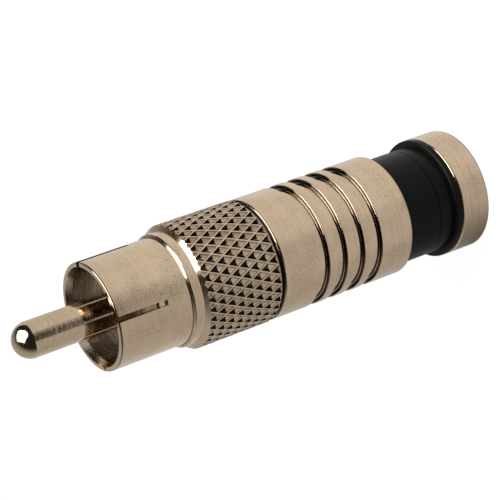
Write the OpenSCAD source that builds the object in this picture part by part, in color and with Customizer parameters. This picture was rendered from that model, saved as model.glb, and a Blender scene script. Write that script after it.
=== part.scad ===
// RCA compression connector: a phono plug that closes on a coaxial cable by an axial squeeze.
// Millimetres. It stands on the cap's rear face at z = 0 with the contact pin pointing up.

/* [Plug end] */

// Diameter of the contact pin
pin_d = 3.2; // [2.8:0.05:3.6]
// How far the pin stands past the skirt
pin_reach = 7.48; // [6:0.05:9]
// Height of the rounded nose
nose_h = 1.35; // [0.8:0.05:1.6]
// Outside diameter of the slotted skirt
skirt_d = 9.7; // [9.2:0.05:10.2]
// Length of the skirt ahead of the ring
skirt_len = 7.03; // [6:0.01:8]
// Bore of the skirt that grips the socket
skirt_bore_d = 8.4; // [8:0.05:8.8]
// How far the skirt's mouth opens out, on the radius
mouth_flare = 0.25; // [0:0.01:0.3]
// Depth of the flared mouth
mouth_len = 0.6; // [0.3:0.05:1]
// Radius of the skirt's outer edge
mouth_r = 0.1; // [0.04:0.01:0.15]
// Number of slots in the skirt
slot_count = 4; // [2:1:6]
// Width of a slot
slot_w = 0.5; // [0.3:0.05:0.8]
// Length of a slot
slot_len = 4.9; // [4:0.1:5.5]
// Depth of the open cavity in the skirt
cavity_len = 5.6; // [5:0.1:6.2]

/* [Ring and knurl] */

// Diameter of the plain ring behind the skirt
ring_d = 10.26; // [9.8:0.02:10.8]
// Length of the plain ring
ring_len = 0.85; // [0.5:0.05:1.2]
// Length of the slope from the skirt up to the ring
step_len = 0.16; // [0.1:0.01:0.4]
// Length of the fine bevel at the top of that slope
step_bevel = 0.06; // [0.03:0.01:0.1]
// Diameter over the knurl
knurl_d = 11.25; // [10.8:0.05:12]
// Length of the knurled band
knurl_len = 7.4; // [6:0.05:9]
// Diamonds in one turn
knurl_round = 38; // [30:1:44]
// Length of one diamond along the axis
knurl_pitch = 1.9; // [1.5:0.05:2.3]
// Depth of a diamond pit
knurl_depth = 0.2; // [0.12:0.01:0.32]
// Width of the ridge left between pits
ridge_w = 0.08; // [0.06:0.01:0.18]
// From the knurl's rear edge to the middle of the first row of pits
knurl_first = 0.15; // [0:0.05:0.9]
// Length of the slope from the ring up to the knurl
knurl_bevel = 0.3; // [0.2:0.05:0.7]
// Bevel at the knurl's rear edge
knurl_rear_bevel = 0.12; // [0.05:0.01:0.2]
// Length of the plain rim behind the knurl
rim_len = 0.14; // [0.1:0.01:0.3]
// How far the rim lies below the pits
rim_drop = 0.1; // [0.01:0.01:0.15]
// Length of the thin neck between the rim and the body
seam_len = 0.12; // [0.08:0.01:0.25]
// How far the neck lies below the rim
seam_drop = 0.12; // [0.05:0.01:0.2]

/* [Body] */

// Outside diameter of the grooved body
body_d = 11.18; // [10.6:0.02:11.8]
// Length of the grooved body
body_len = 14.05; // [13:0.05:17]
// Wall of the body round the sliding sleeve
body_wall = 0.55; // [0.4:0.01:0.7]
// Number of round grooves
groove_count = 4; // [1:1:5]
// Distance from one groove to the next
groove_pitch = 1.93; // [1.6:0.01:2.1]
// Width of a groove from wall to wall
groove_w = 1.07; // [0.8:0.01:1.4]
// Depth of a groove
groove_depth = 0.4; // [0.2:0.01:0.42]
// Radius of the edge at a groove's rear wall
groove_edge_r = 0.08; // [0.03:0.01:0.15]
// Radius of the corner between the rear wall and the floor
groove_corner_r = 0.09; // [0.03:0.01:0.15]
// From the rear edge to the middle of the first groove
groove_start = 4; // [3:0.1:4.5]
// Radius of the body's front edge
body_edge_r = 0.24; // [0.1:0.01:0.4]
// Radius of the rounded rear edge
lip_r = 0.12; // [0.05:0.01:0.4]
// Bevel inside the rear edge
lip_bevel = 0.06; // [0.02:0.01:0.1]

/* [Compression end] */

// Sleeve length that shows before it is pressed home
sleeve_show = 5.25; // [4.6:0.05:5.6]
// Gap left between the flange and the body at the end of the stroke
stroke_spare = 0.05; // [0.02:0.01:0.2]
// Gap left ahead of the sleeve's shoulder and nose at the end of the stroke
end_gap = 0.15; // [0.05:0.05:0.4]
// Radial gap between the sleeve and the body's bore
slide_gap = 0.04; // [0.02:0.01:0.08]
// Length of the full-width sleeve inside the body
shoulder_in = 0.8; // [0.5:0.05:1.2]
// How much thinner the nose is, on the radius
nose_step = 0.5; // [0.3:0.05:0.6]
// Radial gap round the nose
nose_gap = 0.08; // [0.04:0.01:0.1]
// Bevel at the tip of the nose
nose_bevel = 0.3; // [0.1:0.05:0.4]
// Diameter of the sleeve's flange
flange_d = 11.2; // [10.8:0.05:11.8]
// Thickness of the flange
flange_len = 0.55; // [0.4:0.05:1]
// Radius of the flange's front edge
flange_front_r = 0.2; // [0.1:0.05:0.35]
// From the flange to the fine line round the sleeve
mark_up = 1.43; // [0.8:0.01:2]
// Width of the fine line
mark_w = 0.08; // [0.05:0.01:0.2]
// Depth of the fine line
mark_depth = 0.1; // [0.05:0.01:0.15]
// Outside diameter of the metal cap
cap_d = 11.24; // [10.8:0.02:11.8]
// Length of the cap
cap_len = 3.1; // [2.6:0.1:4]
// Wall of the cap round the sleeve's spigot
cap_wall = 0.9; // [0.6:0.05:1.2]
// Thickness of the cap's floor round the cable hole
cap_floor = 1.1; // [0.8:0.1:1.6]
// Cable hole in the cap
cable_hole_d = 7.6; // [7:0.05:8]
// Bevel of the cable hole
cable_bevel = 0.4; // [0.2:0.05:0.6]
// How far the sleeve's bore lies inside the cable hole
sleeve_in = 0.25; // [0.1:0.05:0.4]
// Radius of the cap's rear edge
cap_edge_r = 0.12; // [0.05:0.01:0.5]
// Radius of the cap's front edge
cap_front_r = 0.24; // [0.1:0.01:0.4]

/* [Inside] */

// Bore of the post, for the cable's dielectric
post_bore_d = 4.8; // [4.5:0.05:5.2]
// Wall of the post
post_wall = 0.35; // [0.25:0.05:0.45]
// How far the barb stands out from the post
barb_h = 0.32; // [0.15:0.01:0.4]
// Length of the barb
barb_len = 1.1; // [0.6:0.1:1.6]
// Wall of the post at its sharp end
post_tip = 0.25; // [0.15:0.05:0.3]
// How far the post's end lies inside the body
post_in = 1.6; // [0.5:0.1:3]
// Thickness of the post's flange
post_flange_len = 0.9; // [0.6:0.1:1.2]
// Width of the shoulder that the post's flange sits on
web_step = 0.5; // [0.4:0.05:0.9]
// Thickness of that shoulder
web_len = 1.15; // [0.8:0.05:1.6]
// Length of the shell's spigot in the body
spigot_len = 2.05; // [1.6:0.05:2.4]
// Lead-in at the spigot's end
spigot_lead = 0.3; // [0.1:0.05:0.5]
// Wall of the spigot
spigot_wall = 1; // [0.7:0.05:1.2]
// Wall of the insulator round the pin
insul_wall = 1.4; // [1:0.05:1.6]
// Thickness of the insulator's flange
insul_flange = 1; // [0.6:0.1:1.4]
// From the knurl's rim to the insulator's foot
insul_up = 1.9; // [1.2:0.1:3]
// How far the insulator's foot stands out of the shell's web
insul_proud = 0.4; // [0.2:0.1:0.8]
// How much thicker the pin is inside the insulator, on the radius
pin_grip = 0.25; // [0.2:0.05:0.4]
// How much thicker the pin is at its rear socket, on the radius
socket_step = 0.5; // [0.3:0.05:0.6]
// Length of the thick socket inside the insulator
socket_in = 3; // [2:0.1:4]
// Length of the socket behind the insulator
socket_out = 1.8; // [1:0.1:2.2]
// Bore of the pin's rear socket, for the cable's wire
socket_d = 1.1; // [0.9:0.05:1.3]
// Depth of the socket's bore
socket_len = 4.3; // [3:0.1:4.6]
// Bevel of the socket's bore
socket_bevel = 0.4; // [0.2:0.05:0.5]
// Width of the slits in the socket
slit_w = 0.3; // [0.2:0.05:0.4]
// Length of the slits
slit_len = 2.6; // [1.5:0.1:3]
// Gap between the socket and the guide
guide_gap = 0.15; // [0.05:0.05:0.3]
// Gap behind the socket
guide_end_gap = 0.3; // [0.1:0.05:0.5]
// Radial gap round the wire in the guide's throat
throat_gap = 0.1; // [0.05:0.05:0.3]
// Length of the guide's throat
throat_len = 0.4; // [0.2:0.1:0.8]

/* [Hidden] */

$fn = 96;
// Length that cuts run past a face
over = 0.5;
// Steps in a rounded edge
edge_steps = 6;
// Stations along the axis, from the cap's rear face up
z_cap = cap_len;
z_flange = z_cap + flange_len;
z_mark = z_flange + mark_up;
z_body = z_flange + sleeve_show;
z_seam = z_body + body_len;
z_rim = z_seam + seam_len;
z_knurl = z_rim + rim_len;
z_bevel = z_knurl + knurl_len;
z_ring = z_bevel + knurl_bevel;
z_step = z_ring + ring_len;
z_skirt = z_step + step_bevel + step_len;
z_mouth = z_skirt + skirt_len;
z_tip = z_mouth + pin_reach;
// Radii of the plug end
pin_r = pin_d / 2;
nose_r = (pin_r * pin_r + nose_h * nose_h) / (2 * nose_h);
skirt_r = skirt_d / 2;
skirt_bore_r = skirt_bore_d / 2;
ring_r = ring_d / 2;
knurl_r = knurl_d / 2;
rim_r = knurl_r - knurl_depth - rim_drop;
seam_r = rim_r - seam_drop;
// Radii of the body
body_r = body_d / 2;
wide_bore_r = body_r - body_wall;
groove_floor_r = body_r - groove_depth;
// The sleeve, which slides in the body's bore until its flange meets the body
sleeve_r = wide_bore_r - slide_gap;
nose_out_r = sleeve_r - nose_step;
nose_bore_r = nose_out_r + nose_gap;
sleeve_bore_r = cable_hole_d / 2 - sleeve_in;
flange_r = flange_d / 2;
cap_r = cap_d / 2;
spigot_r = cap_r - cap_wall;
stroke = sleeve_show - stroke_spare;
shoulder_z = z_body + shoulder_in;
wide_top_z = shoulder_z + nose_step + stroke + end_gap;
// The shell's spigot presses into the body and clamps the post's flange on the body's shoulder
seat_r = nose_bore_r;
spigot_z = z_seam - spigot_len;
flange_z = spigot_z - post_flange_len;
web_bore_r = seat_r - web_step;
nose_bore_top_z = flange_z - web_len;
// The sleeve's nose ends where it meets that shoulder at the end of the stroke
nose_top_z = nose_bore_top_z - stroke - end_gap;
post_bore_r = post_bore_d / 2;
post_r = post_bore_r + post_wall;
post_end_z = z_body + post_in;
guide_r = seat_r - spigot_wall;
// The insulator's flange sits on the shell's web at the foot of the skirt
insul_z = z_mouth - cavity_len;
web_top = insul_z - insul_flange;
insul_r = pin_r + insul_wall;
insul_foot = z_rim + insul_up;
web_foot = insul_foot + insul_proud;
grip_r = pin_r + pin_grip;
socket_r = pin_r + socket_step;
socket_top = insul_foot + socket_in;
socket_end = insul_foot - socket_out;
socket_bore_r = socket_d / 2;
guide_hole_r = socket_r + guide_gap;
throat_r = socket_bore_r + throat_gap;
throat_z = socket_end - guide_end_gap;
// Knurl cells: half angle, half width, half length, and the share that a pit takes of its cell
cell_half = 180 / knurl_round;
cell_w = knurl_r * cell_half * PI / 180;
cell_l = knurl_pitch / 2;
cell_side = cell_w * cell_l / sqrt(cell_w * cell_w + cell_l * cell_l);
pit_share = 1 - ridge_w / (2 * cell_side);
pit_over = 0.1 * knurl_depth;
pit_scale = (knurl_depth + pit_over) / knurl_depth;
knurl_rows = ceil((knurl_len + knurl_bevel) / cell_l);

nickel = [0.74, 0.67, 0.58];
white = [0.88, 0.88, 0.86];
black = [0.12, 0.12, 0.12];
brass = [0.72, 0.62, 0.42];

// Points along a round edge of a turned profile
function arc(r0, z0, rad, a0, a1) =
    [for (i = [0 : edge_steps])
        let (a = a0 + (a1 - a0) * i / edge_steps)
        [r0 + rad * cos(a), z0 + rad * sin(a)]];

// One inverted pyramid, pointing at the axis, with its mouth just outside the knurl
module pit() {
    w = cell_w * pit_share * pit_scale;
    l = cell_l * pit_share * pit_scale;
    top = knurl_r + pit_over;
    polyhedron(
        points = [[top, w, 0], [top, 0, l], [top, -w, 0], [top, 0, -l], [knurl_r - knurl_depth, 0, 0]],
        faces = [[0, 3, 2, 1], [0, 1, 4], [1, 2, 4], [2, 3, 4], [3, 0, 4]]);
}

// Rows of pits, each turned half a diamond from the last
module knurl_pits() {
    for (i = [0 : knurl_rows - 1])
        for (m = [0 : knurl_round - 1])
            rotate([0, 0, (2 * m + (i + 1) % 2) * cell_half])
                translate([0, 0, z_knurl + knurl_first + i * cell_l])
                    pit();
}

module skirt_slots() {
    for (k = [0 : slot_count - 1])
        rotate([0, 0, k * 360 / slot_count])
            translate([skirt_bore_r / 2, -slot_w / 2, z_mouth - slot_len])
                cube([skirt_r, slot_w, slot_len + over]);
}

module plug_shell() {
    color(nickel)
        difference() {
            rotate_extrude()
                polygon(concat(
                    [
                        [guide_r, spigot_z],
                        [seat_r - spigot_lead / 2, spigot_z],
                        [seat_r, spigot_z + spigot_lead],
                        [seat_r, z_seam],
                        [seam_r, z_seam],
                        [seam_r, z_rim],
                        [rim_r, z_rim],
                        [rim_r, z_knurl],
                        [knurl_r, z_knurl + knurl_rear_bevel],
                        [knurl_r, z_bevel],
                        [ring_r, z_ring],
                        [ring_r, z_step],
                        [ring_r - step_bevel / 2, z_step + step_bevel],
                        [skirt_r, z_skirt]
                    ],
                    arc(skirt_r - mouth_r, z_mouth - mouth_r, mouth_r, 0, 90),
                    [
                        [skirt_bore_r + mouth_flare, z_mouth],
                        [skirt_bore_r, z_mouth - mouth_len],
                        [skirt_bore_r, web_top],
                        [insul_r, web_top],
                        [insul_r, web_foot],
                        [guide_r, web_foot]
                    ]
                ));
            knurl_pits();
            skirt_slots();
        }
}

module centre_pin() {
    color(nickel)
        difference() {
            union() {
                translate([0, 0, insul_z])
                    cylinder(r = pin_r, h = z_tip - nose_h - insul_z);
                translate([0, 0, socket_top])
                    cylinder(r = grip_r, h = insul_z - socket_top);
                intersection() {
                    translate([0, 0, z_tip - nose_r])
                        sphere(r = nose_r);
                    translate([0, 0, z_tip - nose_h])
                        cylinder(r = pin_r, h = nose_h + over);
                }
                translate([0, 0, socket_end])
                    cylinder(r = socket_r, h = socket_top - socket_end);
            }
            translate([0, 0, socket_end - over])
                cylinder(r = socket_bore_r, h = socket_len + over);
            translate([0, 0, socket_end])
                cylinder(r1 = socket_bore_r + socket_bevel, r2 = socket_bore_r, h = socket_bevel);
            for (a = [45, 135])
                rotate([0, 0, a])
                    translate([-socket_r - over, -slit_w / 2, socket_end - over])
                        cube([2 * (socket_r + over), slit_w, slit_len + over]);
        }
}

module pin_insulator() {
    color(white)
        rotate_extrude()
            polygon([
                [socket_r, insul_foot],
                [insul_r, insul_foot],
                [insul_r, web_top],
                [skirt_bore_r, web_top],
                [skirt_bore_r, insul_z],
                [grip_r, insul_z],
                [grip_r, socket_top],
                [socket_r, socket_top]
            ]);
}

// A funnel that leads the cable's wire into the pin's socket
module conductor_guide() {
    color(white)
        rotate_extrude()
            polygon([
                [post_bore_r, spigot_z],
                [guide_r, spigot_z],
                [guide_r, insul_foot],
                [guide_hole_r, insul_foot],
                [guide_hole_r, throat_z],
                [throat_r, throat_z],
                [throat_r, throat_z - throat_len]
            ]);
}

module inner_post() {
    color(brass)
        rotate_extrude()
            polygon([
                [post_bore_r, post_end_z],
                [post_bore_r + post_tip, post_end_z],
                [post_r + barb_h, post_end_z + barb_len],
                [post_r, post_end_z + barb_len],
                [post_r, flange_z],
                [seat_r, flange_z],
                [seat_r, spigot_z],
                [post_bore_r, spigot_z]
            ]);
}

// Outline of one groove from its rear wall up: a rounded edge, the wall, a rounded corner, the floor, the front wall
function groove(z) = concat(
    arc(body_r - groove_edge_r, z - groove_edge_r, groove_edge_r, 0, 90),
    arc(groove_floor_r + groove_corner_r, z + groove_corner_r, groove_corner_r, 270, 180),
    [[groove_floor_r, z + groove_w], [body_r, z + groove_w]]);

module body_shell() {
    color(nickel)
        rotate_extrude()
            polygon(concat(
                [
                    [seat_r, z_seam],
                    [seat_r, flange_z],
                    [web_bore_r, flange_z],
                    [web_bore_r, nose_bore_top_z],
                    [nose_bore_r, nose_bore_top_z],
                    [nose_bore_r, wide_top_z],
                    [wide_bore_r, wide_top_z],
                    [wide_bore_r, z_body + lip_bevel],
                    [wide_bore_r + lip_bevel, z_body]
                ],
                arc(body_r - lip_r, z_body + lip_r, lip_r, -90, 0),
                [for (k = [0 : groove_count - 1])
                    each groove(z_body + groove_start - groove_w / 2 + k * groove_pitch)],
                arc(body_r - body_edge_r, z_seam - body_edge_r, body_edge_r, 0, 90)
            ));
}

module compression_sleeve() {
    color(black)
        rotate_extrude()
            polygon(concat(
                [
                    [sleeve_bore_r, cap_floor],
                    [spigot_r, cap_floor],
                    [spigot_r, z_cap],
                    [flange_r, z_cap]
                ],
                arc(flange_r - flange_front_r, z_flange - flange_front_r, flange_front_r, 0, 90),
                [
                    [sleeve_r, z_flange],
                    [sleeve_r, z_mark],
                    [sleeve_r - mark_depth, z_mark],
                    [sleeve_r - mark_depth, z_mark + mark_w],
                    [sleeve_r, z_mark + mark_w],
                    [sleeve_r, shoulder_z],
                    [nose_out_r, shoulder_z + nose_step],
                    [nose_out_r, nose_top_z - nose_bevel],
                    [nose_out_r - nose_bevel, nose_top_z],
                    [sleeve_bore_r, nose_top_z]
                ]
            ));
}

module end_cap() {
    color(nickel)
        rotate_extrude()
            polygon(concat(
                [
                    [cable_hole_d / 2, cap_floor],
                    [cable_hole_d / 2, cable_bevel],
                    [cable_hole_d / 2 + cable_bevel, 0]
                ],
                arc(cap_r - cap_edge_r, cap_edge_r, cap_edge_r, -90, 0),
                arc(cap_r - cap_front_r, z_cap - cap_front_r, cap_front_r, 0, 90),
                [
                    [spigot_r, z_cap],
                    [spigot_r, cap_floor]
                ]
            ));
}

plug_shell();
centre_pin();
pin_insulator();
conductor_guide();
inner_post();
body_shell();
compression_sleeve();
end_cap();
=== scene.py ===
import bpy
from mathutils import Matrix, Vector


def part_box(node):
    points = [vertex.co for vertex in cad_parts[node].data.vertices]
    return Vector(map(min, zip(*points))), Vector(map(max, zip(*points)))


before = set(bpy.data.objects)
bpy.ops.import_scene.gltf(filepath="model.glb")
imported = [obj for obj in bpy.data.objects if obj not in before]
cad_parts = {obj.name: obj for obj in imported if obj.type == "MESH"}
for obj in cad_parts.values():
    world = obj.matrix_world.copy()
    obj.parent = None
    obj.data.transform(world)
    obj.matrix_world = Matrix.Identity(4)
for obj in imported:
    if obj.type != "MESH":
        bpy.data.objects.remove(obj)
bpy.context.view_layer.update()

import math

import bmesh
import bpy
from mathutils import Matrix, Vector

scene = bpy.context.scene
scene.view_settings.view_transform = "Standard"

# One millimetre of the part in the scene's metres
MM = 0.001

# The side of the plug that the camera looks at, and the way that is down in the picture
NEAR_TURN = math.radians(11.4)
near = Vector((math.cos(NEAR_TURN), math.sin(NEAR_TURN), 0))
down = Vector((math.sin(NEAR_TURN), -math.cos(NEAR_TURN), 0))
tip_up = Vector((0, 0, 1))


def reach(node):
    """How far a turned piece reaches out from the axis and up along it, in millimetres."""
    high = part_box(node)[1]
    return high.x / MM, high.z / MM


# The knurl is the widest place of the shell, and the skirt's mouth is its highest
KNURL_RADIUS, MOUTH = reach("plug_shell")
BODY_RADIUS, BODY_FRONT = reach("body_shell")

# The knurl in millimetres: its ends, its first row of pits, the step between rows and the pits in a row
KNURL_REAR = BODY_FRONT + 0.26
KNURL_FRONT = KNURL_REAR + 7.4
FIRST_ROW = KNURL_REAR + 0.15
ROW_STEP = 0.95
PITS_ROUND = 38

# Radius of the skirt, the step from the plain ring down to it, and the two lines of the cap, in millimetres
SKIRT_RADIUS = 4.85
RING_STEP = MOUTH - 7.04
CAP_LINE, CAP_FAINT_LINE = 1.15, 2.09

# Camera

# Tilt above the plug's side and roll of the picture, in degrees
CAMERA_TILT, CAMERA_ROLL = 29.0575, -19.65
# Place in millimetres: to the near side, down the picture and up the axis
CAMERA_NEAR, CAMERA_DOWN, CAMERA_UP = 150.055, -0.802, 105.80
# Shift across and down the picture, in millimetres
CAMERA_SHIFT = -0.042
# Focal length and width of the picture in pixels, and the sensor's width in millimetres
FOCAL, PICTURE, SENSOR = 1943.357, 500, 36


def set_camera():
    """A long lens in front of the plug and above it, rolled so that the plug lies across the picture."""
    tilt, roll = math.radians(CAMERA_TILT), math.radians(CAMERA_ROLL)
    along = math.sin(tilt) * near - math.cos(tilt) * tip_up
    right = math.cos(roll) * along - math.sin(roll) * down
    below = math.sin(roll) * along + math.cos(roll) * down
    ahead = -math.cos(tilt) * near - math.sin(tilt) * tip_up
    lens = bpy.data.cameras.new("camera")
    lens.sensor_fit = "HORIZONTAL"
    lens.sensor_width = SENSOR
    lens.lens = FOCAL / PICTURE * SENSOR
    lens.clip_start, lens.clip_end = 0.01, 20
    camera = bpy.data.objects.new("camera", lens)
    stand = CAMERA_NEAR * near + CAMERA_DOWN * down + CAMERA_UP * tip_up
    place = MM * (stand + CAMERA_SHIFT * (right + below))
    facing = Matrix((right, -below, -ahead)).transposed().to_4x4()
    camera.matrix_world = Matrix.Translation(place) @ facing
    scene.collection.objects.link(camera)
    scene.camera = camera


# Shader sheets


class Wire:
    """A socket of a node tree, which takes part in sums."""

    def __init__(self, sheet, socket):
        self.sheet, self.socket = sheet, socket

    def calc(self, operation, *others):
        """A Math node on this socket and the values after it."""
        sockets = dict(enumerate((self, *others)))
        return self.sheet.node("ShaderNodeMath", {"operation": operation}, sockets)

    def calc_from(self, operation, first):
        """A Math node on a value and this socket, in that order."""
        return self.sheet.node("ShaderNodeMath", {"operation": operation}, {0: first, 1: self})

    def __add__(self, other):
        return self.calc("ADD", other)

    def __sub__(self, other):
        return self.calc("SUBTRACT", other)

    def __mul__(self, other):
        return self.calc("MULTIPLY", other)

    def __truediv__(self, other):
        return self.calc("DIVIDE", other)

    def __rsub__(self, other):
        return self.calc_from("SUBTRACT", other)

    def __rtruediv__(self, other):
        return self.calc_from("DIVIDE", other)

    __radd__ = __add__
    __rmul__ = __mul__


class Sheet:
    """The node tree of a finish, of the floor or of the room."""

    def __init__(self, tree):
        self.tree = tree
        tree.nodes.clear()

    def node(self, kind, settings=None, sockets=None, out=0):
        """Adds a node, sets it up, fills its sockets with values or links, and gives one output."""
        made = self.tree.nodes.new(kind)
        for name, value in (settings or {}).items():
            setattr(made, name, value)
        for name, value in (sockets or {}).items():
            if isinstance(value, Wire):
                self.tree.links.new(value.socket, made.inputs[name])
            else:
                made.inputs[name].default_value = value
        return Wire(self, made.outputs[out]) if made.outputs else made

    def smooth(self, value, low, high):
        """0 at low, 1 at high, with an easy curve between."""
        return self.node("ShaderNodeMapRange", {"interpolation_type": "SMOOTHSTEP"},
                         {"Value": value, "From Min": low, "From Max": high})

    def band(self, value, low, high, soft):
        """1 between low and high, with soft ends outside them."""
        return self.smooth(value, low - soft, low) * (1 - self.smooth(value, high, high + soft))

    def most(self, first, *others):
        """The largest of several values."""
        for other in others:
            first = first.calc("MAXIMUM", other)
        return first

    def blend(self, share, first, second):
        """A colour between two."""
        return self.node("ShaderNodeMix", {"data_type": "RGBA"}, {0: share, 6: first, 7: second}, out=2)

    def noise(self, vector, scale, detail):
        """A cloudy value about a half, with as many waves to the millimetre as its scale says."""
        return self.node("ShaderNodeTexNoise", {},
                         {"Vector": vector, "Scale": scale, "Detail": detail, "Roughness": 0.6})

    def stretch(self, cloud):
        """A cloudy value spread out over the whole way from 0 to 1."""
        return self.smooth(cloud, 0.3, 0.7)

    def dot(self, vector, axis):
        """How far a direction goes along an axis."""
        return self.node("ShaderNodeVectorMath", {"operation": "DOT_PRODUCT"},
                         {0: vector, 1: tuple(axis)}, out=1)

    def place(self):
        """Object coordinates in millimetres, with their parts, and the distance from the axis."""
        raw = self.node("ShaderNodeTexCoord", out=3)
        spot = self.node("ShaderNodeVectorMath", {"operation": "SCALE"}, {0: raw, "Scale": 1 / MM})
        parts = self.node("ShaderNodeSeparateXYZ", {}, {0: spot})
        x, y, z = [Wire(self, parts.socket.node.outputs[i]) for i in range(3)]
        radius = (x * x + y * y).calc("SQRT")
        return spot, x, y, z, radius

    def turning_lines(self, x, y, z, radius, rings, spread):
        """Cloudy lines round the axis, with rings to the millimetre along it, and broken up by spread."""
        least_radius, share_on_faces = 0.05, 0.63
        wide = radius.calc("MAXIMUM", least_radius)
        way = self.node("ShaderNodeCombineXYZ", {}, {
            0: x / wide * spread,
            1: y / wide * spread,
            2: z * rings + radius * (rings * share_on_faces)})
        return self.noise(way, 1.0, detail=3.0)

    def seen_by(self, *kinds):
        """1 for the rays named, 0 for the rest."""
        path = self.node("ShaderNodeLightPath").socket.node
        return self.most(*[Wire(self, path.outputs[kind]) for kind in kinds])


def new_finish(name):
    """A material and its empty sheet."""
    material = bpy.data.materials.new(name)
    material.use_nodes = True
    return material, Sheet(material.node_tree)


# Finishes

NICKEL = (0.66, 0.505, 0.348, 1)
BRASS = (0.56, 0.40, 0.17, 1)
SPECK = (0.16, 0.12, 0.08, 1)
# Colours of painted shade: in the shell's seams and edges and on the cap, also along its turning lines; in
# the body's grooves; on the front side of the knurl's pits
PAINTED_SHADE = (0.10, 0.085, 0.065, 1)
GROOVE_PAINTED_SHADE = (0.05, 0.045, 0.04, 1)
PIT_PAINTED_SHADE = (0.03, 0.026, 0.02, 1)
# Colours inside a bore: a duller, streaked finish, partly painted shade
BORE_DULL_AND_SHADE_DARK, BORE_DULL_AND_SHADE_LIGHT = (0.33, 0.275, 0.205, 1), (0.48, 0.40, 0.305, 1)
FACE_WHITE, FACE_SHADE = (0.74, 0.76, 0.80, 1), (0.66, 0.68, 0.71, 1)
GUIDE_WHITE, GUIDE_SHADE = (0.74, 0.75, 0.77, 1), (0.68, 0.69, 0.70, 1)
SLEEVE_BLACK, SLEEVE_SHADE = (0.003, 0.003, 0.0025, 1), (0.005, 0.0045, 0.0038, 1)

# Shares of a metal's tint where it is clean and where it is dull
CLEAN, DULL = 1.12, 0.8
# How much its stains, its grain and its turning lines each make it dull
STAIN_SHARE, GRAIN_SHARE, LINE_SHARE = 0.3, 0.45, 0.25
# Waves to the millimetre of its orange peel, of its stains and of its grain
PEEL, STAIN, GRAIN = 3.2, 0.55, 7.0
# Waves to the millimetre of the mottle and the grain of plastic
MOTTLE, PLASTIC_GRAIN = 1.4, 14.0
# Roughness of clean metal
METAL_ROUGHNESS = 0.07
# Height in metres that one unit of relief stands for
METAL_RELIEF, PLASTIC_RELIEF = 1.2e-6, 1.5e-6
# Width over which a bore's dull and shade-darkened wall ends, and the radius that stands for no bore, in
# millimetres
BORE_EDGE, NO_BORE = 0.15, -0.2
# Half the width of a fine dark line, in millimetres
LINE_HALF = 0.02


def toned(colour, share):
    """A colour made lighter or darker."""
    return tuple(share * part for part in colour[:3]) + (1,)


def put_together(sheet, base, rough, relief, relief_height, others):
    """The shader of a finish, with its colour, its roughness, its relief and its other values."""
    normal = sheet.node("ShaderNodeBump", {}, {"Strength": 1.0, "Distance": relief_height, "Height": relief})
    sockets = {"Base Color": base, "Roughness": rough, "Normal": normal, **others}
    shader = sheet.node("ShaderNodeBsdfPrincipled", {}, sockets)
    sheet.node("ShaderNodeOutputMaterial", {}, {"Surface": shader})


def turned_metal(name, tint, bore=NO_BORE, shade_mask=None, shade_colour=PAINTED_SHADE, pits=None, rings=6.0, spread=0.5,
                 line_depth=0.5, grain_depth=1.0, speckle=0.3, seed=0.0):
    """Bright turned metal with stains, specks and turning lines; inside the bore's radius it is duller and
    streaked, and painted darker as shade.

    It has painted shade in the given colour where the given shade mask is 1, and painted shade in the pits
    where the given pit mask is 1.
    """
    material, sheet = new_finish(name)
    spot, x, y, z, radius = sheet.place()
    # Each piece shows another place in the same clouds
    offset = (seed, seed * 0.7, seed * 1.3)
    shifted = sheet.node("ShaderNodeVectorMath", {"operation": "ADD"}, {0: spot, 1: offset})
    lines = sheet.turning_lines(x, y, z, radius, rings, spread)
    peel = sheet.noise(shifted, PEEL, detail=3.0)
    stain = sheet.noise(shifted, STAIN, detail=4.0)
    grains = sheet.noise(shifted, GRAIN, detail=2.0)
    specks = sheet.smooth(grains, 0.6, 0.7) * sheet.smooth(stain, 0.42, 0.6)
    inside = 1 - sheet.smooth(radius, bore, bore + BORE_EDGE)

    dullness = sheet.stretch(stain) * STAIN_SHARE + sheet.stretch(grains) * GRAIN_SHARE
    dullness = dullness + sheet.stretch(lines) * LINE_SHARE
    base = sheet.blend(dullness, toned(tint, CLEAN), toned(tint, DULL))
    base = sheet.blend(specks * speckle, base, SPECK)
    # Painted shade in grooves, seams and edges, and on the front side of each pit
    if shade_mask:
        base = sheet.blend(shade_mask(sheet, z, radius), base, shade_colour)
    if pits:
        base = sheet.blend(pits(sheet, x, y, z), base, PIT_PAINTED_SHADE)
    # Inside the bore: duller streaks, darkened partly as painted shade
    bore_streaks_and_shade = sheet.blend(sheet.smooth(lines, 0.35, 0.65), BORE_DULL_AND_SHADE_DARK, BORE_DULL_AND_SHADE_LIGHT)
    base = sheet.blend(inside, base, bore_streaks_and_shade)

    rough = METAL_ROUGHNESS + stain * 0.05 + lines * 0.05 + specks * 0.12 + inside * 0.1
    skin = peel * 0.9 + grains * grain_depth - specks * 0.8
    relief = lines * (line_depth + inside) + skin * (1 - inside * 0.7)
    put_together(sheet, base, rough, relief, METAL_RELIEF, {"Metallic": 1.0})
    return material


def knurl_pit_shade(sheet, x, y, z):
    """Painted shade on the front side of each pit of the knurl, off the ridges between the pits."""
    row = (z - FIRST_ROW) / ROW_STEP
    column = y.calc("ARCTAN2", x) / (math.pi / PITS_ROUND)
    # Two slanting coordinates, each 0 in the middle of a pit and a half at the ridges on two of its sides
    first, second = [((row + slant * column) * 0.5).calc("FRACT") - 0.5 for slant in (1, -1)]
    front = sheet.smooth(first + second, -0.03, 0.06)
    ridge = sheet.smooth(sheet.most(first.calc("ABSOLUTE"), second.calc("ABSOLUTE")), 0.42, 0.45)
    knurled = sheet.band(z, KNURL_REAR + 0.13, KNURL_FRONT - 0.31, 0.03)
    return front * (1 - ridge) * knurled * 0.6


def fine_line(sheet, z, height, soft):
    """1 along a line round the piece, with soft sides."""
    return sheet.band(z, height - LINE_HALF, height + LINE_HALF, soft)


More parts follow.
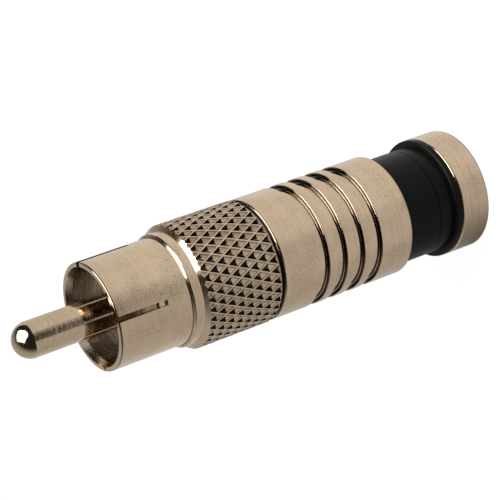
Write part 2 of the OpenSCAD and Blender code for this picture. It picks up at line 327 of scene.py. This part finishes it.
def shell_painted_shade(sheet, z, radius):
    """Painted shade under the ridges of the knurl, in its rear seam, ahead of the ring and round the mouth.
    """
    under_ridges = sheet.band(radius, KNURL_RADIUS - 0.052, KNURL_RADIUS - 0.025, 0.017)
    behind_bevel = 1 - sheet.smooth(z, KNURL_FRONT - 0.06, KNURL_FRONT + 0.04)
    seam = 1 - sheet.smooth(z, KNURL_REAR - 0.05, KNURL_REAR + 0.03)
    step = fine_line(sheet, z, RING_STEP, 0.03)
    step = step * sheet.smooth(radius, SKIRT_RADIUS - 0.25, SKIRT_RADIUS - 0.15)
    mouth = sheet.band(z, MOUTH - 0.15, MOUTH - 0.06, 0.015)
    mouth = mouth * sheet.smooth(radius, SKIRT_RADIUS - 0.15, SKIRT_RADIUS - 0.1)
    return sheet.most(under_ridges * behind_bevel * 0.72, seam * 0.8, step * 0.7, mouth)


def body_painted_shade(sheet, z, radius):
    """Painted shade on the walls of the body's grooves, below their edges, and in the seam at the front."""
    walls = sheet.band(radius, BODY_RADIUS - 0.36, BODY_RADIUS - 0.1, 0.02)
    grooved = 1 - sheet.smooth(z, BODY_FRONT - 1.45, BODY_FRONT - 1.35)
    seam = sheet.smooth(z, BODY_FRONT - 0.11, BODY_FRONT - 0.06)
    return sheet.most(walls * grooved, seam * 0.9)


def cap_edge_shade_and_lines(sheet, z, radius):
    """Painted shade at the rear edge of the cap, and darker along its two turning lines."""
    edge = 1 - sheet.smooth(z, 0.05, 0.12)
    line = fine_line(sheet, z, CAP_LINE, 0.06)
    faint_line = fine_line(sheet, z, CAP_FAINT_LINE, 0.06)
    return sheet.most(edge * 0.7, line * 0.22, faint_line * 0.1)


def plastic(name, colour, shade, roughness, shine=0.5):
    """Moulded plastic with a slight mottle, fine flow lines and a satin skin."""
    material, sheet = new_finish(name)
    spot, x, y, z, radius = sheet.place()
    mottle = sheet.noise(spot, MOTTLE, detail=4.0)
    grain = sheet.noise(spot, PLASTIC_GRAIN, detail=2.0)
    lines = sheet.turning_lines(x, y, z, radius, rings=5.0, spread=0.8)
    base = sheet.blend(sheet.stretch(mottle), colour, shade)
    rough = roughness + mottle * 0.12 + lines * 0.06
    relief = grain * 0.6 + lines * 0.6
    put_together(sheet, base, rough, relief, PLASTIC_RELIEF, {"Specular IOR Level": shine})
    return material


def dress():
    """Each piece gets its own finish."""
    finishes = {
        # The shell, the body and the cap get painted shade in their pits, grooves, seams and edges
        "plug_shell": turned_metal("shell_nickel", NICKEL, bore=4.32, shade_mask=shell_painted_shade, pits=knurl_pit_shade,
                                   speckle=0.75, seed=1.0),
        "centre_pin": turned_metal("pin_nickel", NICKEL, rings=3.4, spread=2.2, line_depth=6.0,
                                   grain_depth=0.9, seed=3.0),
        "body_shell": turned_metal("body_nickel", NICKEL, bore=4.95, shade_mask=body_painted_shade, shade_colour=GROOVE_PAINTED_SHADE,
                                   seed=4.0),
        "end_cap": turned_metal("cap_nickel", NICKEL, bore=4.6, shade_mask=cap_edge_shade_and_lines, seed=5.0),
        "inner_post": turned_metal("post_brass", BRASS, rings=5.0, line_depth=0.7, seed=7.0),
        "pin_insulator": plastic("insulator_white", FACE_WHITE, FACE_SHADE, roughness=0.3),
        "conductor_guide": plastic("guide_white", GUIDE_WHITE, GUIDE_SHADE, roughness=0.35),
        "compression_sleeve": plastic("sleeve_black", SLEEVE_BLACK, SLEEVE_SHADE, roughness=0.3, shine=0.15),
    }
    for node, material in finishes.items():
        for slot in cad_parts[node].material_slots:
            slot.material = material


# Floor

# Half the floor's width in metres
FLOOR_HALF = 1.5
# The floor's paint, its glow to the camera, and the share of that glow over the shadow
FLOOR_PAINT, FLOOR_GLOW, GLOW_SHARE = (0.85, 0.85, 0.85, 1), 1.08, 0.85


def lay_floor():
    """A pale floor that looks white and keeps a faint shadow. The metal mirrors the room instead of it."""
    mesh = bpy.data.meshes.new("floor")
    plane = bmesh.new()
    bmesh.ops.create_grid(plane, x_segments=1, y_segments=1, size=FLOOR_HALF)
    plane.to_mesh(mesh)
    plane.free()
    floor = bpy.data.objects.new("floor", mesh)
    floor.visible_glossy = False
    scene.collection.objects.link(floor)
    material, sheet = new_finish("floor_white")
    matt = sheet.node("ShaderNodeBsdfDiffuse", {}, {"Color": FLOOR_PAINT})
    white = sheet.node("ShaderNodeEmission", {}, {"Color": (1, 1, 1, 1), "Strength": FLOOR_GLOW})
    share = sheet.seen_by("Is Camera Ray") * GLOW_SHARE
    shader = sheet.node("ShaderNodeMixShader", {}, {0: share, 1: matt, 2: white})
    sheet.node("ShaderNodeOutputMaterial", {}, {"Surface": shader})
    mesh.materials.append(material)


# Room

# Corners of the softbox as the plug sees it: degrees from the pin's axis, and round from the near side
SOFTBOX = [(18.6, -143.7), (30.0, 11.0), (62.6, -28.6), (69.4, -41.5), (70.4, -62.5), (61.5, -113.0)]
# Its level in the metal, where white is 1, and the sines between which its edge fades
SOFTBOX_LEVEL, SOFTBOX_EDGE = 4.5, (-0.02, 0.03)

# Sides of the softbox's lamp, its distance from a place on the axis, and that place, in metres
LAMP_SIDES, LAMP_DISTANCE, LAMP_FROM = (0.35, 0.3), 0.3, Vector((0, 0, 0.045))
# Radiance of the lamp, and of the light from all round on what isn't mirrored
LAMP_RADIANCE, FILL_LEVEL = 3.0, 0.55

# Level of the sweep, and what its upper side, its crest and its foot add
SWEEP_LEVEL, TOP_LEVEL, CREST_LEVEL, FOOT_LEVEL = 0.55, 0.32, 0.12, 0.14
# Shares by which the sweep fades away from the near side and dips at its foot
FADE_SHARE, DIP_SHARE = 0.9, 0.18
# Level of the dark room, and what the wall ahead of the sweep and the ground beyond it add
DARK_LEVEL, WALL_LEVEL, GROUND_LEVEL = 0.02, 0.5, 0.5

# Edges of these zones along the plug, as sines of the angle toward its cap end
DIP_END, FOOT_END, CREST_START, FADE_START = (0.39, 0.43), (0.45, 0.48), (0.47, 0.52), (0.552, 0.588)
PATCH_START, PATCH_END = (0.14, 0.2), (0.405, 0.42)
BEYOND_START, GROUND_START = [
    [math.sin(math.radians(angle)) for angle in edge] for edge in ((39, 43), (58, 68))]
# Sine at which the sweep starts on the near side, how much lower that is on the far side, and how soft
SWEEP_START, FAR_DROP, SWEEP_SOFT = 0.06, 0.15, 0.03

# Edges of these zones round the plug, as cosines toward the near or far side, or up or down the picture
TOP_UP, DIP_UP = (-0.1, 0.7), (-0.3, 0.3)
CREST_NEAR, CREST_DOWN = (0.1, 0.7), (-0.6, -0.2)
FOOT_NEAR, FOOT_DOWN = (0.7, 1.0), (0.0, 0.5)
FADE_FAR, FADE_DOWN = (-1.25, 0.85), (0.0, 0.4)
PATCH_NEAR = 0.8
# The way to the wall, and how far along it the wall lights up
WALL_WAY, WALL_EDGE = -near + 0.6 * down, (0.0, 0.9)


def toward(lean, turn):
    """The direction that leans from the pin's axis and is turned from the near side."""
    lean, turn = math.radians(lean), math.radians(turn)
    return math.sin(lean) * (math.cos(turn) * near + math.sin(turn) * down) + math.cos(lean) * tip_up


softbox_corners = [toward(*corner) for corner in SOFTBOX]
softbox_middle = sum(softbox_corners, Vector())


def sweep_level(sheet, to_near, to_down, behind, far):
    """Light on the white sweep behind the plug, with the camera as a dark patch in front of it."""
    top = sheet.smooth(0 - to_down, *TOP_UP)
    crest = sheet.smooth(to_near, *CREST_NEAR) * sheet.smooth(to_down, *CREST_DOWN)
    crest = crest * sheet.smooth(behind, *CREST_START)
    foot = far * sheet.smooth(to_down, *FOOT_DOWN) + 0.5 * sheet.smooth(to_near, *FOOT_NEAR)
    foot = foot * (1 - sheet.smooth(behind, *FOOT_END))
    level = SWEEP_LEVEL + TOP_LEVEL * top + CREST_LEVEL * crest + FOOT_LEVEL * foot
    fade = sheet.smooth(0 - to_near, *FADE_FAR) * sheet.smooth(to_down, *FADE_DOWN)
    fade = fade * sheet.smooth(behind, *FADE_START)
    dip = sheet.smooth(0 - to_down, *DIP_UP) * (1 - sheet.smooth(behind, *DIP_END))
    patch = ((to_near - PATCH_NEAR) / (1 - PATCH_NEAR)).calc("MAXIMUM", 0)
    patch = patch * sheet.smooth(behind, *PATCH_START) * (1 - sheet.smooth(behind, *PATCH_END))
    return level * (1 - FADE_SHARE * fade) * (1 - DIP_SHARE * dip) * (1 - patch)


def room_level(sheet, way):
    """Light from the sweep, from the wall ahead of it, and from the dark room and the ground beyond it."""
    to_near, to_down, behind = [sheet.dot(way, axis) for axis in (near, down, -tip_up)]
    flat = (to_near * to_near + to_down * to_down).calc("SQRT").calc("MAXIMUM", 0.001)
    to_near, to_down = to_near / flat, to_down / flat
    far = sheet.smooth(0 - to_near, 0.0, 1.0)
    sweep = sweep_level(sheet, to_near, to_down, behind, far)
    wall = DARK_LEVEL + WALL_LEVEL * sheet.smooth(sheet.dot(way, WALL_WAY), *WALL_EDGE)
    ground = DARK_LEVEL + GROUND_LEVEL * sheet.smooth(behind, *GROUND_START)
    on_sweep = sheet.smooth(behind - (SWEEP_START - FAR_DROP * far), -SWEEP_SOFT, SWEEP_SOFT)
    beyond = sheet.smooth(behind, *BEYOND_START)
    return (wall * (1 - on_sweep) + sweep * on_sweep) * (1 - beyond) + ground * beyond


def softbox_share(sheet, way):
    """1 for the directions between the softbox's corners."""
    sides = []
    for first, second in zip(softbox_corners, softbox_corners[1:] + softbox_corners[:1]):
        inward = first.cross(second).normalized()
        inward = inward if inward.dot(softbox_middle) > 0 else -inward
        sides.append(sheet.smooth(sheet.dot(way, inward), *SOFTBOX_EDGE))
    return math.prod(sides)


def paint_room():
    """A softbox ahead and up the picture, a white sweep behind the plug, and a dark room beyond both."""
    world = bpy.data.worlds.new("room")
    scene.world = world
    world.use_nodes = True
    sheet = Sheet(world.node_tree)
    way = sheet.node("ShaderNodeTexCoord", out=0)
    mirrored = sheet.seen_by("Is Glossy Ray", "Is Transmission Ray")
    camera = sheet.seen_by("Is Camera Ray")
    in_metal = room_level(sheet, way) + softbox_share(sheet, way) * SOFTBOX_LEVEL
    level = camera + mirrored * in_metal + (1 - camera) * (1 - mirrored) * FILL_LEVEL
    glow = sheet.node("ShaderNodeBackground", {}, {"Color": (1, 1, 1, 1), "Strength": level})
    sheet.node("ShaderNodeOutputWorld", {}, {"Surface": glow})


def hang_lamp():
    """The lamp that lights plastic and floor. The metal mirrors the softbox of the room instead of it."""
    lamp = bpy.data.lights.new("softbox", "AREA")
    lamp.shape = "RECTANGLE"
    lamp.size, lamp.size_y = LAMP_SIDES
    lamp.energy = LAMP_RADIANCE * math.pi * lamp.size * lamp.size_y
    softbox = bpy.data.objects.new("softbox", lamp)
    place = LAMP_FROM + LAMP_DISTANCE * softbox_middle.normalized()
    facing = Matrix((down, tip_up.cross(down), tip_up)).transposed().to_4x4()
    softbox.matrix_world = Matrix.Translation(place) @ facing
    softbox.visible_camera = False
    softbox.visible_glossy = False
    scene.collection.objects.link(softbox)


set_camera()
dress()
lay_floor()
paint_room()
hang_lamp()
